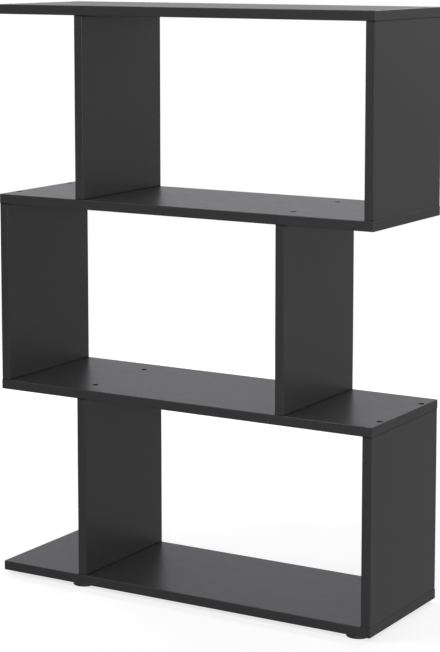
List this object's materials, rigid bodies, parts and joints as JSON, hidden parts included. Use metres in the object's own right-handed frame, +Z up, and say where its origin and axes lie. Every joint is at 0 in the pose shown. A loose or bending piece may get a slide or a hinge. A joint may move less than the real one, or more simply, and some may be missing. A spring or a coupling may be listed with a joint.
{
  "type": "zigzag bookshelf",
  "caption": "Open zigzag bookshelf of anthracite boards: full-width shelves on uprights that step in and out from tier to tier, on low round feet.",
  "frame": {"origin": "on the floor, under the middle of the shelves", "axes": "+X to the right seen from the front, +Y to the back, +Z up"},
  "size_m": [0.7, 0.236, 0.97],
  "materials": {
    "board_face": "anthracite melamine-faced chipboard, satin with a very fine grain",
    "edge_band": "anthracite plastic edge band, satin, rounded over",
    "screw_steel": "blackened steel dowel screw",
    "nail_steel": "bright zinc-plated nail",
    "glide_plastic": "black moulded plastic, matte"
  },
  "bodies": {
    "root": {"back_left_foot": "glide_plastic", "back_left_foot_nail": "nail_steel", "back_right_foot": "glide_plastic", "back_right_foot_nail": "nail_steel", "bottom_left_back_band": "edge_band", "bottom_left_front_band": "edge_band", "bottom_left_lower_back_screw": "screw_steel", "bottom_left_lower_front_screw": "screw_steel", "bottom_left_upper_back_screw": "screw_steel", "bottom_left_upper_front_screw": "screw_steel", "bottom_left_upright": "board_face", "bottom_right_back_band": "edge_band", "bottom_right_front_band": "edge_band", "bottom_right_lower_back_screw": "screw_steel", "bottom_right_lower_front_screw": "screw_steel", "bottom_right_upper_back_screw": "screw_steel", "bottom_right_upper_front_screw": "screw_steel", "bottom_right_upright": "board_face", "bottom_shelf": "board_face", "bottom_shelf_edge_band": "edge_band", "front_left_foot": "glide_plastic", "front_left_foot_nail": "nail_steel", "front_right_foot": "glide_plastic", "front_right_foot_nail": "nail_steel", "lower_shelf": "board_face", "lower_shelf_edge_band": "edge_band", "middle_left_back_band": "edge_band", "middle_left_front_band": "edge_band", "middle_left_lower_back_screw": "screw_steel", "middle_left_lower_front_screw": "screw_steel", "middle_left_upper_back_screw": "screw_steel", "middle_left_upper_front_screw": "screw_steel", "middle_left_upright": "board_face", "middle_right_back_band": "edge_band", "middle_right_front_band": "edge_band", "middle_right_lower_back_screw": "screw_steel", "middle_right_lower_front_screw": "screw_steel", "middle_right_upper_back_screw": "screw_steel", "middle_right_upper_front_screw": "screw_steel", "middle_right_upright": "board_face", "top_left_back_band": "edge_band", "top_left_front_band": "edge_band", "top_left_lower_back_screw": "screw_steel", "top_left_lower_front_screw": "screw_steel", "top_left_upper_back_screw": "screw_steel", "top_left_upper_front_screw": "screw_steel", "top_left_upright": "board_face", "top_right_back_band": "edge_band", "top_right_front_band": "edge_band", "top_right_lower_back_screw": "screw_steel", "top_right_lower_front_screw": "screw_steel", "top_right_upper_back_screw": "screw_steel", "top_right_upper_front_screw": "screw_steel", "top_right_upright": "board_face", "top_shelf": "board_face", "top_shelf_edge_band": "edge_band", "upper_shelf": "board_face", "upper_shelf_edge_band": "edge_band"}
  },
  "joints": []
}
